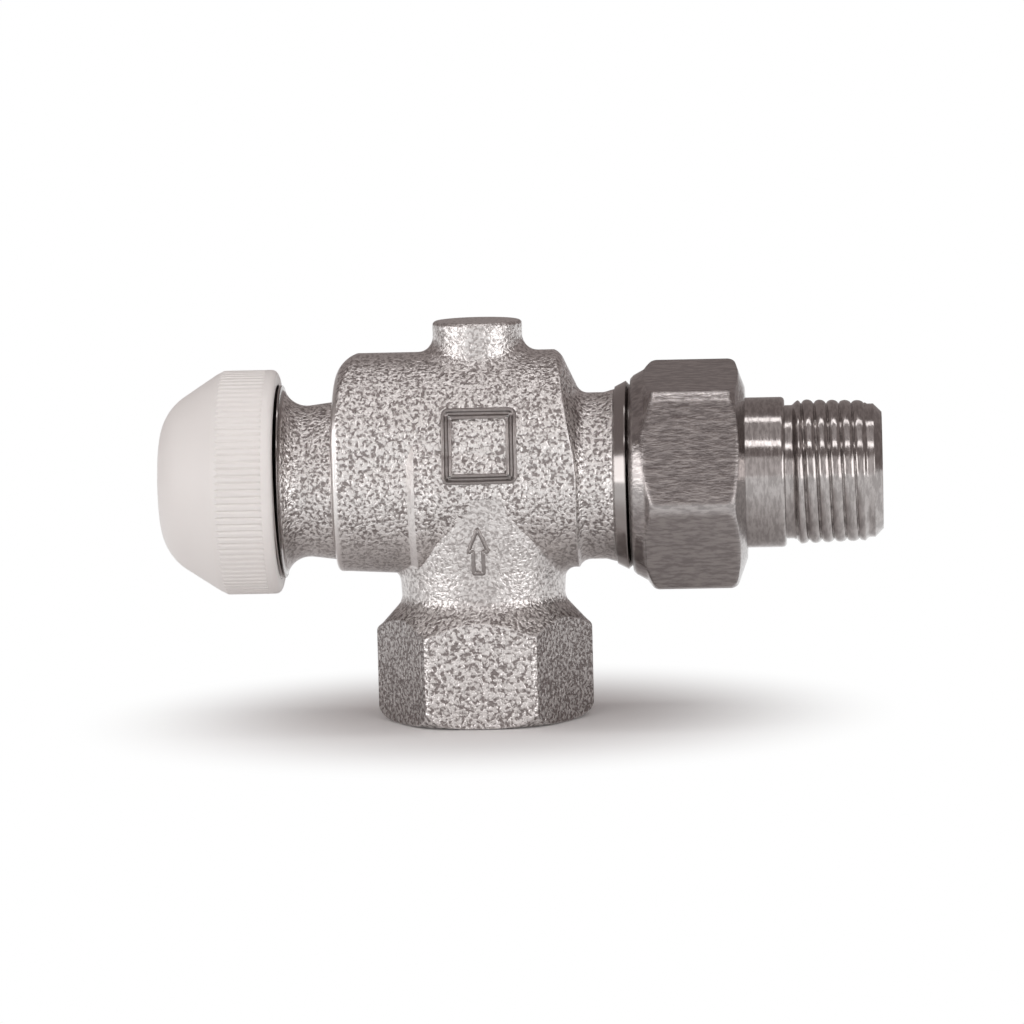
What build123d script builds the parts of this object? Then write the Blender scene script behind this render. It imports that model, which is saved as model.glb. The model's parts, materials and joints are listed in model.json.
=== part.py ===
from build123d import *
import os

os.makedirs("parts", exist_ok=True)

# Angled radiator valve, in millimetres.
# The origin is the middle of the pipe socket's mouth. +Z runs up the inlet, and +X runs
# along the valve axis towards the radiator. The valve is shown shut, with its cap screwed on.

# Main layout
axis_height = 35.0  # socket mouth to valve axis
barrel_left = -20.9  # left face of the barrel, from the inlet axis
shoulder_start = 11.6  # where the barrel's right shoulder begins at its crown
shoulder_end = 14.7  # where that shoulder meets the outlet neck
seat_place = -9.4  # face of the valve seat, from the inlet axis
lift = 3.0  # travel of the disc from shut to open

# Clearances
running_gap = 0.05  # radial room of a shaft in its bore
thread_gap = 0.12  # radial room between two screwed pieces
end_gap = 0.05  # room between end faces that meet

# Barrel, whose upper half stands higher for the channel over the inlet
barrel_radius = 13.2
barrel_rise = 5.3
barrel_corner = 4.8
crown_room = 0.2  # turned envelope above the crown
crown_round = 2.5
barrel_edge_round = 0.7
barrel_draft = 0.55  # swell of the barrel's left part up to the step
centre_left = -9.2  # step where the stouter middle of the barrel begins
centre_swell = 0.9
step_bevel = 0.5
seam = 0.04  # depth at which one turned form starts inside another
casting_wall = 2.5
cavity_end_wall = 1.5  # shoulder's start to the end of the water space

# Head collar and waist on the left of the barrel
head_thread_radius = 14.0  # M28
collar_length = 10.0
collar_chamfer = 0.9
waist_length = 7.7
waist_radius = 11.0
waist_hollow = 3.6  # radius of the hollow behind the collar
waist_root = 11.5

# Outlet neck and union spigot on the right
outlet_neck_drop = 1.1  # in from the barrel's sides
outlet_neck_length = 3.4
outlet_neck_fillet = 1.8
ring_start = 19.75
ring_length = 1.6
ring_radius = 12.9
ring_lip = 13.7
ring_foot = 12.55
union_thread_radius = 13.16  # G 3/4
union_thread_length = 9.75
union_undercut = 0.5  # shoulder from lip to thread
spigot_chamfer = 0.9
outlet_bore = 8.6
cone_mouth = 10.6  # wide end of the union's cone seat
cone_depth = 2.8

# Pipe socket and inlet neck
pipe_thread_radius = 10.48  # Rp 1/2
socket_depth = 14.5
socket_flats = 27.5
socket_corner_radius = 15.7
socket_rim_radius = 12.7
socket_rim_round = 1.8
socket_lip_radius = 2.6
socket_straight = 12.9
socket_shoulder = 4.3
socket_slope_in = 0.85  # the slope's start, in from the corners
socket_slope_up = 1.1  # and up from the flats
socket_slope_end = 0.6  # its end, out from the neck and below the shoulder's top
mouth_chamfer = 0.5
inlet_root_drop = 0.4  # in from the barrel's sides
inlet_waist_drop = 0.9  # in from the root
inlet_waist_height = 18.4
inlet_fillet = 1.6
inlet_bore = 8.0
gable_swell = 0.6  # stout top of the neck, out from the root
gable_foot_drop = 0.4  # in from the waist
gable_foot_height = 19.0

# Blind boss on top
boss_radius = 6.5
boss_height = 23.0  # above the valve axis
boss_fillet = 2.3
boss_edge_round = 0.6

# Inner duct with the seat
duct_bore = 6.4
duct_wall = 1.8
duct_top = 5.6  # above the valve axis
seat_bore = 5.0
seat_wall = 2.1
seat_land = 0.7
seat_bevel = 0.8
floor_drop = 13.2  # start of the narrow duct below the valve axis

# Screw cap
cap_headroom = 8.05  # collar end to cap end
cap_rim_back = 0.7  # cap rim to the collar's inner end
cap_skirt_wall = 2.18  # thread to the ribs
cap_wall = 1.8
cap_corner_wall = 0.9  # extra room inside the dome's edge
cap_face_radius = 5.8
cap_dome_depth = 3.9
cap_dome_drop = 3.55  # in from the ribs
cap_cone_length = 4.6
cap_brow_drop = 0.55  # in from the ribs
cap_shoulder_length = 1.1
cap_rim_round = 0.9
rib_count = 99
groove_depth = 0.27
rim_band = 1.5
pusher_radius = 3.0

# Insert behind the cap
hex_recess = 7.6
hex_recess_room = 0.28
insert_flats = 19.0
insert_thread_radius = 8.9
insert_chamfer = 0.5
insert_back = 0.2
insert_seal_section = 0.72  # half of the ring's thickness
seal_groove_room = 0.18
seal_groove_back = 3.9  # from the bush's right end
chamber_radius = 6.2
circlip_back = 0.6
circlip_thickness = 0.6
circlip_depth = 0.5
circlip_band = 1.3
circlip_opening = 5.0
guide_plate_thickness = 1.25
spring_length = 4.6  # when shut
spring_radius = 4.4  # middle of the wire
spring_wire = 0.42  # half of the wire's thickness
spring_turns = 3.5
cup_thickness = 1.0
cup_radius = 5.8
cup_lip = 0.6
cup_lip_height = 0.8
clip_thickness = 0.55
clip_radius = 3.7
clip_depth = 0.6
clip_opening = 2.4
spindle_radius = 2.25
spindle_land = 0.4
spindle_pocket_room = 0.35
pin_radius = 1.5
pin_chamfer = 0.3
pin_reach = 2.7  # out of the gland
guide_length = 1.6
gland_thread_radius = 4.45
gland_depth = 3.4
gland_flats = 10.0
gland_head = 2.2
gland_washer_thickness = 0.6
pin_seal_section = 0.58  # half of the ring's thickness
pin_seal_room = 0.12
seal_fit = 0.02

# Valve disc
seal_radius = 6.6
seal_thickness = 2.4
carrier_band = 0.7
carrier_thickness = 1.9
carrier_lip = 1.1
disc_washer_radius = 3.3
disc_washer_thickness = 0.6
screw_radius = 1.5
screw_length = 8.0
screw_head_radius = 2.6
screw_head_height = 1.5
screw_head_round = 0.75
screw_slot_width = 0.7
screw_slot_depth = 0.6

# Union nut and tailpiece
nut_back = 0.7  # gap between the spigot's ring and the nut
nut_wall = 1.72  # thread to the middle of a flat
nut_corner_radius = 16.9
nut_turn = 47.9  # degrees, turn of the hexagon about the valve axis
nut_collar_wall = 1.2
nut_collar_length = 2.0
nut_collar_rise = 0.45
nut_collar_swell = 0.85
nut_bevel_length = 1.15
nut_flange = 4.1
nut_end_bevel = 1.65
nut_end_radius = 12.4
nut_corner_round = 1.4
nut_mouth_chamfer = 0.6
nut_hole_room = 0.18
tail_collar_room = 0.3
tail_collar_length = 3.3
tail_radius = 10.9
tail_plain_length = 9.85
tail_edge_bevel = 0.5
tail_groove_length = 1.05
thread_pitch = 1.814  # R 1/2
thread_turns = 6
thread_depth = 0.8
thread_crest = 0.5
tail_end_land = 0.9
tail_end_chamfer = 1.2
tail_bore = 7.6
nose_back = 0.4  # nose of the tailpiece to the cone's narrow end

# Places worked out from the sizes above
side = Plane((0, 0, axis_height), x_dir=(1, 0, 0), z_dir=(0, -1, 0))
valve_axis = Axis((0, 0, axis_height), (1, 0, 0))

barrel_crown = barrel_rise + barrel_radius
centre_radius = barrel_radius + centre_swell
envelope_radius = barrel_crown + crown_room
collar_back = barrel_left - waist_length
collar_end = collar_back - collar_length
waist_place = barrel_left - 0.5 * waist_length

outlet_neck_radius = barrel_radius - outlet_neck_drop
neck_end = shoulder_end + outlet_neck_length
ring_end = ring_start + ring_length
spigot_start = ring_end + union_undercut
spigot_end = ring_end + union_thread_length

slope_top = socket_straight + socket_shoulder
inlet_root_radius = barrel_radius - inlet_root_drop
inlet_waist_radius = inlet_root_radius - inlet_waist_drop
neck_foot = (inlet_waist_radius, inlet_waist_height)
neck_top = (inlet_root_radius, axis_height)
neck_slope = (inlet_root_radius - inlet_waist_radius, axis_height - inlet_waist_height)

cavity_left = barrel_left + casting_wall
cavity_right = shoulder_start - cavity_end_wall
cavity_radius = barrel_radius - casting_wall
inner_bore = insert_thread_radius + thread_gap

insert_right = cavity_left - insert_back
circlip_right = insert_right - circlip_back
circlip_left = circlip_right - circlip_thickness
guide_right = circlip_left - end_gap
guide_left = guide_right - guide_plate_thickness
cup_right = guide_left - spring_length
cup_left = cup_right - cup_thickness
clip_right = cup_left - end_gap
clip_left = clip_right - clip_thickness
spindle_left = clip_left - spindle_land
chamber_floor = clip_left - lift - 2 * end_gap
spindle_pocket = spindle_left - lift - 2 * end_gap
gland_floor = spindle_pocket - guide_length
insert_left = gland_floor - gland_depth
recess_floor = collar_end + hex_recess
recess_radius = insert_flats / 3**0.5 + hex_recess_room
gland_face = insert_left - gland_washer_thickness
gland_end = gland_face - gland_head
gland_tip = gland_floor - end_gap
pin_end = gland_end - pin_reach
pin_bore = pin_radius + running_gap
spindle_bore = spindle_radius + running_gap

seal_ring_radius = inner_bore - insert_seal_section - seal_fit
seal_groove_radius = seal_ring_radius - insert_seal_section - seal_fit
seal_groove_right = insert_right - seal_groove_back
seal_ring_place = seal_groove_right - insert_seal_section - seal_groove_room
seal_groove_left = seal_ring_place - insert_seal_section - seal_groove_room
pin_seal_radius = pin_radius + pin_seal_section + seal_fit
pin_seal_bore = pin_seal_radius + pin_seal_section + seal_fit
pin_seal_step = 2 * pin_seal_section + pin_seal_room
pin_seal_inner = gland_tip - 0.5 * pin_seal_step
pin_seal_outer = pin_seal_inner - pin_seal_step
pin_seal_back = pin_seal_outer - 0.5 * pin_seal_step

seal_face = seat_place - end_gap
seal_back = seal_face - seal_thickness
carrier_back = seal_back - carrier_thickness
carrier_lip_inner = seal_radius + running_gap
carrier_radius = carrier_lip_inner + carrier_band
screw_bore = screw_radius + running_gap
screw_seat = seal_face + disc_washer_thickness
screw_tip = screw_seat - screw_length

cap_rim = collar_back - cap_rim_back
cap_end = collar_end - cap_headroom
cap_dome_end = cap_end + cap_dome_depth
cap_cone_end = cap_dome_end + cap_cone_length
cap_roof = cap_end + cap_wall
cap_bore = head_thread_radius + thread_gap
cap_radius = cap_bore + cap_skirt_wall
cap_dome_radius = cap_radius - cap_dome_drop
cap_cone_radius = cap_radius - cap_brow_drop
pusher_face = pin_end - end_gap

nut_start = ring_end + nut_back
nut_hexagon = nut_start + nut_collar_length
nut_bore = union_thread_radius + thread_gap
nut_apothem = nut_bore + nut_wall
nut_collar_radius = nut_bore + nut_collar_wall
nut_collar_end = nut_collar_radius + nut_collar_swell
cone_start = spigot_end - cone_depth
collar_face = spigot_end + end_gap
tail_collar_end = collar_face + tail_collar_length
tail_collar_radius = nut_bore - tail_collar_room
nut_shoulder = tail_collar_end + end_gap
nut_end = nut_shoulder + nut_flange
tail_plain_end = tail_collar_end + tail_plain_length
tail_thread_start = tail_plain_end + tail_groove_length
tail_thread_end = tail_thread_start + thread_turns * thread_pitch
tail_land_end = tail_thread_end + tail_end_land
tail_end = tail_land_end + tail_end_chamfer
thread_root = pipe_thread_radius - thread_depth
thread_flank = 0.5 * (thread_pitch - thread_crest)
nose_start = cone_start + nose_back
nose_radius = outlet_bore + (cone_mouth - outlet_bore) * nose_back / cone_depth - end_gap


def turned_outline(*points):
    """Closed outline of (place along the valve axis, radius) points."""
    with BuildSketch(side) as outline:
        with BuildLine():
            Polyline(*points, close=True)
        make_face()
    return outline.sketch


def turned_ring(left, right, inner, outer):
    """Outline of a plain ring about the valve axis."""
    return turned_outline((left, inner), (right, inner), (right, outer), (left, outer))


# Hexagon pipe socket with the inlet neck, turned and flattened
with BuildPart() as socket_blank:
    with BuildSketch(Plane.XY):
        RegularPolygon(radius=0.5 * socket_flats, side_count=6, major_radius=False)
    extrude(amount=inlet_waist_height)
    with BuildSketch(Plane.XZ):
        with BuildLine():
            rim = Polyline((0, 0), (socket_rim_radius, 0))
            lip = RadiusArc(rim @ 1, (socket_corner_radius, socket_rim_round), -socket_lip_radius)
            wall = Line(lip @ 1, (socket_corner_radius, socket_straight))
            slope = Line(
                (socket_corner_radius - socket_slope_in, socket_straight + socket_slope_up),
                (inlet_waist_radius + socket_slope_end, slope_top - socket_slope_end),
            )
            Spline(wall @ 1, slope @ 0, tangents=(wall % 1, slope % 0))
            Spline(slope @ 1, neck_foot, tangents=(slope % 1, neck_slope))
            Polyline(neck_foot, (0, inlet_waist_height), (0, 0))
        make_face()
    revolve(axis=Axis.Z, mode=Mode.INTERSECT)
    with BuildSketch(Plane.XZ):
        with BuildLine():
            Polyline(
                (0, inlet_waist_height), neck_foot, neck_top, (0, axis_height), close=True
            )
        make_face()
    revolve(axis=Axis.Z)

# Water space of the body: chamber round the seat duct, outlet and inlet bores
with BuildPart() as water_space:
    with BuildSketch(Plane.YZ.offset(cavity_left)):
        with Locations((0, axis_height + 0.5 * barrel_rise)):
            SlotCenterToCenter(barrel_rise, 2 * cavity_radius, rotation=90)
    extrude(amount=cavity_right - cavity_left)
    revolve(turned_ring(cavity_right - casting_wall, spigot_end, 0, outlet_bore), axis=valve_axis)
    with BuildSketch(Plane.XY.offset(axis_height - barrel_crown)):
        Circle(duct_bore + duct_wall)
    extrude(amount=barrel_crown + duct_top + duct_wall, mode=Mode.SUBTRACT)
    revolve(turned_ring(seat_place, 0, 0, seat_bore + seat_wall), axis=valve_axis, mode=Mode.SUBTRACT)
    revolve(
        turned_outline(
            (seat_place, seat_bore + seat_land),
            (seat_place, seat_bore + seat_wall),
            (seat_place + seat_bevel, seat_bore + seat_wall),
        ),
        axis=valve_axis,
    )
    revolve(turned_ring(seat_place, 0, 0, seat_bore), axis=valve_axis)
    with BuildSketch(Plane.XY.offset(axis_height - floor_drop)):
        Circle(duct_bore)
    extrude(amount=floor_drop + duct_top)
    with BuildSketch(Plane.XZ):
        with BuildLine():
            Polyline(
                (0, 0),
                (pipe_thread_radius + mouth_chamfer, 0),
                (pipe_thread_radius, mouth_chamfer),
                (pipe_thread_radius, socket_depth),
                (inlet_bore, socket_depth),
                (inlet_bore, axis_height - floor_drop),
                (0, axis_height - floor_drop),
                close=True,
            )
        make_face()
    revolve(axis=Axis.Z)

# Cast body
with BuildPart() as valve_body:
    with BuildSketch(Plane.YZ.offset(barrel_left)):
        with Locations((0, axis_height + 0.5 * barrel_rise)):
            SlotCenterToCenter(barrel_rise, 2 * barrel_radius, rotation=90)
    extrude(amount=neck_end - barrel_left)
    with BuildSketch(side):
        with BuildLine():
            left_face = Line((barrel_left, 0), (barrel_left, envelope_radius - barrel_corner))
            corner = RadiusArc(left_face @ 1, (barrel_left + barrel_corner, envelope_radius), barrel_corner)
            shoulder = FilletPolyline(
                corner @ 1,
                (shoulder_start, envelope_radius),
                (shoulder_end, outlet_neck_radius),
                (neck_end, outlet_neck_radius),
                radius=(crown_round, outlet_neck_fillet),
            )
            Polyline(shoulder @ 1, (neck_end, 0), (barrel_left, 0))
        make_face()
    revolve(axis=valve_axis, mode=Mode.INTERSECT)
    end_edges = valve_body.faces().sort_by(Axis.X)[0].edges().sort_by(Axis.Z)[:-1]
    fillet(end_edges, barrel_edge_round)
    revolve(
        turned_outline(
            (0, 0),
            (0, outlet_neck_radius),
            (neck_end, outlet_neck_radius),
            (ring_start, ring_foot),
            (ring_start, ring_radius),
            (ring_end, ring_lip),
            (spigot_start, union_thread_radius),
            (spigot_end - spigot_chamfer, union_thread_radius),
            (spigot_end, union_thread_radius - spigot_chamfer),
            (spigot_end, 0),
        ),
        axis=valve_axis,
    )
    add(socket_blank.part)
    fillet(valve_body.edges(Select.NEW), inlet_fillet)
    with BuildSketch(Plane.XY.offset(axis_height)):
        Circle(boss_radius)
    extrude(amount=boss_height)
    fillet(valve_body.edges(Select.NEW), boss_fillet)
    fillet(valve_body.faces().sort_by(Axis.Z)[-1].edges(), boss_edge_round)
    revolve(
        turned_outline(
            (barrel_left + barrel_edge_round, 0),
            (barrel_left + barrel_edge_round, barrel_radius - seam),
            (centre_left, barrel_radius + barrel_draft),
            (centre_left + step_bevel, centre_radius),
            (0, centre_radius),
            (shoulder_start, barrel_radius - step_bevel),
            (shoulder_start, 0),
        ),
        axis=valve_axis,
    )
    with BuildSketch(Plane.XZ):
        with BuildLine():
            Polyline(
                (0, gable_foot_height),
                (inlet_waist_radius - gable_foot_drop, gable_foot_height),
                (inlet_root_radius + gable_swell, axis_height),
                (0, axis_height),
                close=True,
            )
        make_face()
    revolve(axis=Axis.Z)
    with BuildSketch(side):
        with BuildLine():
            collar = Polyline(
                (0, 0),
                (collar_end, 0),
                (collar_end, head_thread_radius - collar_chamfer),
                (collar_end + collar_chamfer, head_thread_radius),
                (collar_back, head_thread_radius),
            )
            hollow = RadiusArc(collar @ 1, (waist_place, waist_radius), -waist_hollow)
            Polyline(hollow @ 1, (barrel_left, waist_root), (0, waist_root), (0, 0))
        make_face()
    revolve(axis=valve_axis)
    add(water_space.part, mode=Mode.SUBTRACT)
    revolve(turned_ring(collar_end, cavity_left, 0, inner_bore), axis=valve_axis, mode=Mode.SUBTRACT)
    revolve(
        turned_ring(collar_end, recess_floor, 0, recess_radius), axis=valve_axis, mode=Mode.SUBTRACT
    )
    revolve(
        turned_outline((cone_start, 0), (cone_start, outlet_bore), (spigot_end, cone_mouth), (spigot_end, 0)),
        axis=valve_axis,
        mode=Mode.SUBTRACT,
    )

# Ribbed screw cap with the boss that pushes the pin
with BuildPart() as screw_cap:
    with BuildSketch(side):
        with BuildLine():
            face = Line((cap_end, 0), (cap_end, cap_face_radius))
            dome = TangentArc(face @ 1, (cap_dome_end, cap_dome_radius), tangent=(0, 1))
            skirt = Polyline(
                dome @ 1,
                (cap_cone_end, cap_cone_radius),
                (cap_cone_end + cap_shoulder_length, cap_radius),
                (cap_rim - cap_rim_round, cap_radius),
            )
            lip = RadiusArc(skirt @ 1, (cap_rim, cap_radius - cap_rim_round), cap_rim_round)
            Polyline(
                lip @ 1,
                (cap_rim, cap_bore),
                (cap_cone_end, cap_bore),
                (cap_dome_end + cap_corner_wall, cap_dome_radius - cap_wall),
                (cap_roof, cap_face_radius + cap_corner_wall),
                (cap_roof, pusher_radius),
                (pusher_face, pusher_radius),
                (pusher_face, 0),
                (cap_end, 0),
            )
        make_face()
    revolve(axis=valve_axis)
    with BuildSketch(Plane((cap_cone_end, 0, axis_height), x_dir=(0, 1, 0), z_dir=(1, 0, 0))):
        with PolarLocations(cap_radius, rib_count):
            RegularPolygon(radius=groove_depth, side_count=4)
    extrude(amount=cap_rim - rim_band - cap_cone_end, mode=Mode.SUBTRACT)

# Bush of the insert, with the spring chamber and the gland's pocket
with BuildPart() as insert_housing:
    with BuildSketch(Plane((insert_left, 0, axis_height), x_dir=(0, 1, 0), z_dir=(1, 0, 0))):
        RegularPolygon(radius=0.5 * insert_flats, side_count=6, major_radius=False)
    extrude(amount=recess_floor - end_gap - insert_left)
    revolve(turned_ring(recess_floor - end_gap, insert_right, 0, insert_thread_radius), axis=valve_axis)
    chamfer(insert_housing.faces().sort_by(Axis.X)[-1].edges(), insert_chamfer)
    revolve(
        turned_ring(seal_groove_left, seal_groove_right, seal_groove_radius, inner_bore),
        axis=valve_axis,
        mode=Mode.SUBTRACT,
    )
    revolve(
        turned_outline(
            (insert_left, 0),
            (insert_left, gland_thread_radius + thread_gap),
            (gland_floor, gland_thread_radius + thread_gap),
            (gland_floor, pin_bore),
            (spindle_pocket, pin_bore),
            (spindle_pocket, spindle_radius + spindle_pocket_room),
            (chamber_floor, spindle_radius + spindle_pocket_room),
            (chamber_floor, chamber_radius),
            (circlip_left, chamber_radius),
            (circlip_left, chamber_radius + circlip_depth),
            (circlip_right + end_gap, chamber_radius + circlip_depth),
            (circlip_right + end_gap, chamber_radius),
            (insert_right, chamber_radius),
            (insert_right, 0),
        ),
        axis=valve_axis,
        mode=Mode.SUBTRACT,
    )

with BuildPart() as housing_o_ring:
    with BuildSketch(side):
        with Locations((seal_ring_place, seal_ring_radius)):
            Circle(insert_seal_section)
    revolve(axis=valve_axis)

# Gland screw, with a pocket for the two rings on the pin
with BuildPart() as gland_screw:
    with BuildSketch(Plane((gland_end, 0, axis_height), x_dir=(0, 1, 0), z_dir=(1, 0, 0))):
        RegularPolygon(radius=0.5 * gland_flats, side_count=6, major_radius=False)
    extrude(amount=gland_head)
    revolve(turned_ring(gland_face, gland_tip, 0, gland_thread_radius), axis=valve_axis)
    revolve(turned_ring(gland_end, gland_tip, 0, pin_bore), axis=valve_axis, mode=Mode.SUBTRACT)
    revolve(turned_ring(pin_seal_back, gland_tip, 0, pin_seal_bore), axis=valve_axis, mode=Mode.SUBTRACT)

with BuildPart() as gland_washer:
    revolve(
        turned_ring(gland_face, insert_left, gland_thread_radius + thread_gap, 0.5 * gland_flats),
        axis=valve_axis,
    )

with BuildPart() as pin_o_ring_outer:
    with BuildSketch(side):
        with Locations((pin_seal_outer, pin_seal_radius)):
            Circle(pin_seal_section)
    revolve(axis=valve_axis)

with BuildPart() as pin_o_ring_inner:
    with BuildSketch(side):
        with Locations((pin_seal_inner, pin_seal_radius)):
            Circle(pin_seal_section)
    revolve(axis=valve_axis)

with BuildPart() as spindle_pin:
    revolve(turned_ring(pin_end, spindle_left, 0, pin_radius), axis=valve_axis)
    chamfer(spindle_pin.faces().sort_by(Axis.X)[0].edges(), pin_chamfer)

# Spindle with the clip's groove and the tapped end for the disc screw
with BuildPart() as spindle:
    revolve(turned_ring(spindle_left, carrier_back, 0, spindle_radius), axis=valve_axis)
    revolve(
        turned_ring(clip_left, clip_right, spindle_radius - clip_depth, spindle_radius + clip_depth),
        axis=valve_axis,
        mode=Mode.SUBTRACT,
    )
    revolve(
        turned_ring(screw_tip - end_gap, carrier_back, 0, screw_bore), axis=valve_axis, mode=Mode.SUBTRACT
    )

with BuildPart() as spindle_clip:
    revolve(
        turned_ring(clip_left, clip_right, spindle_radius - clip_depth + running_gap, clip_radius),
        axis=valve_axis,
    )
    with BuildSketch(Plane((clip_left, 0, axis_height), x_dir=(0, 1, 0), z_dir=(1, 0, 0))):
        with Locations((0, -clip_radius)):
            Rectangle(clip_opening, 2 * clip_radius)
    extrude(amount=clip_thickness, mode=Mode.SUBTRACT)

# Moving end plate of the spring, with a lip round the coil
with BuildPart() as spring_cup:
    revolve(turned_ring(cup_left, cup_right, spindle_bore, cup_radius), axis=valve_axis)
    revolve(
        turned_ring(cup_right, cup_right + cup_lip_height, cup_radius - cup_lip, cup_radius),
        axis=valve_axis,
    )

with BuildPart() as return_spring:
    with BuildLine():
        coil = Helix(
            pitch=(spring_length - 2 * spring_wire - 2 * end_gap) / spring_turns,
            height=spring_length - 2 * spring_wire - 2 * end_gap,
            radius=spring_radius,
            center=(cup_right + spring_wire + end_gap, 0, axis_height),
            direction=(1, 0, 0),
        )
    with BuildSketch(Plane(coil @ 0, z_dir=coil % 0)):
        Circle(spring_wire)
    sweep(is_frenet=True)

with BuildPart() as spring_seat:
    revolve(
        turned_ring(guide_left, guide_right, spindle_bore, chamber_radius - running_gap), axis=valve_axis
    )

with BuildPart() as seat_circlip:
    revolve(
        turned_ring(
            circlip_left,
            circlip_right,
            chamber_radius + circlip_depth - running_gap - circlip_band,
            chamber_radius + circlip_depth - running_gap,
        ),
        axis=valve_axis,
    )
    with BuildSketch(Plane((circlip_left, 0, axis_height), x_dir=(0, 1, 0), z_dir=(1, 0, 0))):
        with Locations((0, -chamber_radius)):
            Rectangle(circlip_opening, chamber_radius)
    extrude(amount=circlip_thickness, mode=Mode.SUBTRACT)

# Disc: carrier plate with a lip, rubber seal, washer and screw
with BuildPart() as disc_carrier:
    revolve(turned_ring(carrier_back, seal_back, screw_bore, carrier_radius), axis=valve_axis)
    revolve(
        turned_ring(seal_back, seal_back + carrier_lip, carrier_lip_inner, carrier_radius), axis=valve_axis
    )

with BuildPart() as disc_seal:
    revolve(turned_ring(seal_back, seal_face, screw_bore, seal_radius), axis=valve_axis)

with BuildPart() as disc_washer:
    revolve(turned_ring(seal_face, screw_seat, screw_bore, disc_washer_radius), axis=valve_axis)

with BuildPart() as disc_screw:
    revolve(turned_ring(screw_tip, screw_seat, 0, screw_radius), axis=valve_axis)
    revolve(turned_ring(screw_seat, screw_seat + screw_head_height, 0, screw_head_radius), axis=valve_axis)
    fillet(disc_screw.faces().sort_by(Axis.X)[-1].edges(), screw_head_round)
    with BuildSketch(
        Plane((screw_seat + screw_head_height, 0, axis_height), x_dir=(0, 1, 0), z_dir=(1, 0, 0))
    ):
        Rectangle(2 * screw_head_radius, screw_slot_width)
    extrude(amount=-screw_slot_depth, mode=Mode.SUBTRACT)

# Union nut: hexagon with a bevel at each end, behind a round collar
with BuildPart() as union_nut:
    with BuildSketch(Plane((nut_hexagon, 0, axis_height), x_dir=(0, -1, 0), z_dir=(-1, 0, 0))):
        RegularPolygon(radius=nut_apothem, side_count=6, major_radius=False, rotation=nut_turn)
    extrude(amount=nut_hexagon - nut_end)
    with BuildSketch(side):
        with BuildLine():
            crown = FilletPolyline(
                (nut_hexagon, nut_collar_end),
                (nut_hexagon + nut_bevel_length, nut_corner_radius),
                (nut_end - nut_end_bevel, nut_corner_radius),
                (nut_end, nut_end_radius),
                radius=nut_corner_round,
            )
            Polyline(crown @ 1, (nut_end, 0), (nut_hexagon, 0), crown @ 0)
        make_face()
    revolve(axis=valve_axis, mode=Mode.INTERSECT)
    revolve(
        turned_outline(
            (nut_start, 0),
            (nut_start, nut_collar_radius - nut_collar_rise),
            (nut_start + nut_collar_rise, nut_collar_radius),
            (nut_hexagon, nut_collar_end),
            (nut_hexagon, 0),
        ),
        axis=valve_axis,
    )
    revolve(
        turned_outline(
            (nut_start, 0),
            (nut_start, nut_bore + nut_mouth_chamfer),
            (nut_start + nut_mouth_chamfer, nut_bore),
            (nut_shoulder, nut_bore),
            (nut_shoulder, tail_radius + nut_hole_room),
            (nut_end, tail_radius + nut_hole_room),
            (nut_end, 0),
        ),
        axis=valve_axis,
        mode=Mode.SUBTRACT,
    )

# Tailpiece: cone nose and collar inside the nut, plain tube, pipe thread as plain rings
thread_rings = []
for turn in range(thread_turns):
    root_place = tail_thread_start + turn * thread_pitch
    thread_rings += [
        (root_place, thread_root),
        (root_place + thread_flank, pipe_thread_radius),
        (root_place + thread_flank + thread_crest, pipe_thread_radius),
    ]
with BuildPart() as tailpiece:
    revolve(
        turned_outline(
            (nose_start, tail_bore),
            (nose_start, nose_radius),
            (collar_face, cone_mouth - end_gap),
            (collar_face, tail_collar_radius),
            (tail_collar_end, tail_collar_radius),
            (tail_collar_end, tail_radius),
            (tail_plain_end - tail_edge_bevel, tail_radius),
            (tail_plain_end, tail_radius - tail_edge_bevel),
            (tail_plain_end, thread_root),
            *thread_rings,
            (tail_thread_end, thread_root),
            (tail_land_end, thread_root),
            (tail_end, thread_root - tail_end_chamfer),
            (tail_end, tail_bore),
        ),
        axis=valve_axis,
    )

pieces = {
    "valve_body": valve_body,
    "screw_cap": screw_cap,
    "insert_housing": insert_housing,
    "housing_o_ring": housing_o_ring,
    "gland_screw": gland_screw,
    "gland_washer": gland_washer,
    "pin_o_ring_outer": pin_o_ring_outer,
    "pin_o_ring_inner": pin_o_ring_inner,
    "spindle_pin": spindle_pin,
    "spindle": spindle,
    "spindle_clip": spindle_clip,
    "spring_cup": spring_cup,
    "return_spring": return_spring,
    "spring_seat": spring_seat,
    "seat_circlip": seat_circlip,
    "disc_carrier": disc_carrier,
    "disc_seal": disc_seal,
    "disc_washer": disc_washer,
    "disc_screw": disc_screw,
    "union_nut": union_nut,
    "tailpiece": tailpiece,
}
for name, piece in pieces.items():
    piece.part.label = name
    export_step(piece.part, f"parts/{name}.step")
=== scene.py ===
import json
import math

import bpy
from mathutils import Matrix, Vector
from mathutils.bvhtree import BVHTree


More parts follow.
